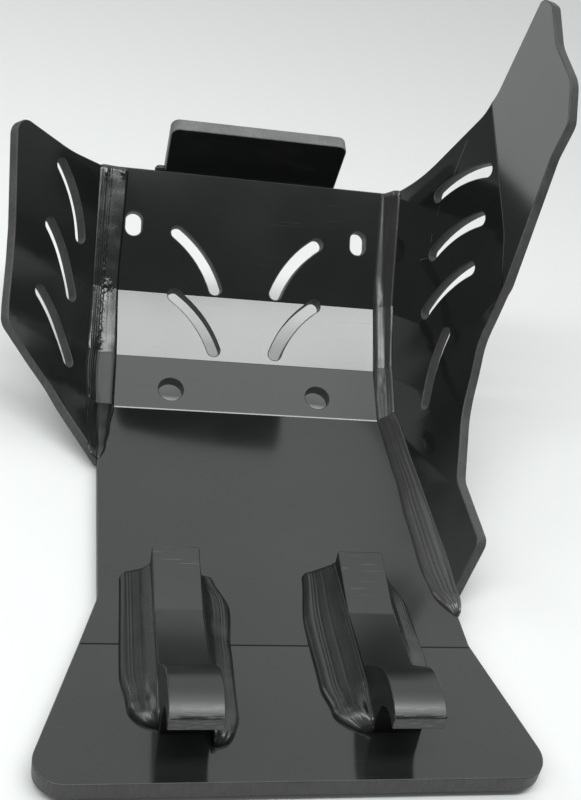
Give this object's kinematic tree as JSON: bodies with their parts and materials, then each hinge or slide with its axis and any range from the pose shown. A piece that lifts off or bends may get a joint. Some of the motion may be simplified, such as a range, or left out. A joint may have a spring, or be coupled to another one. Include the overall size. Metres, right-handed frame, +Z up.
{
  "type": "motorcycle skid plate",
  "caption": "Black plastic skid plate: folded belly and upright with slotted splayed side plates, a top tab and rear hooks that grip a frame tube.",
  "frame": {"origin": "middle of the belly's flat underside", "axes": "+X to the right when looking forward, +Y forward towards the upright, +Z up, away from the ground"},
  "size_m": [0.3285, 0.4214, 0.2817],
  "materials": {
    "plate": "satin-gloss black sheet with light scuffs",
    "side": "satin-gloss black sheet with light scuffs",
    "tab": "satin-gloss black sheet",
    "hook": "satin black block, scratched on its top and scuffed on its lip",
    "weld": "glossy black bead with drawn lines along it"
  },
  "bodies": {
    "root": {"main_plate": "plate", "left_side_plate": "side", "right_side_plate": "side", "top_tab": "tab", "left_hook": "hook", "right_hook": "hook", "left_side_weld": "weld", "right_side_weld": "weld", "top_tab_weld": "weld", "left_hook_left_weld": "weld", "left_hook_right_weld": "weld", "right_hook_left_weld": "weld", "right_hook_right_weld": "weld"}
  },
  "joints": []
}
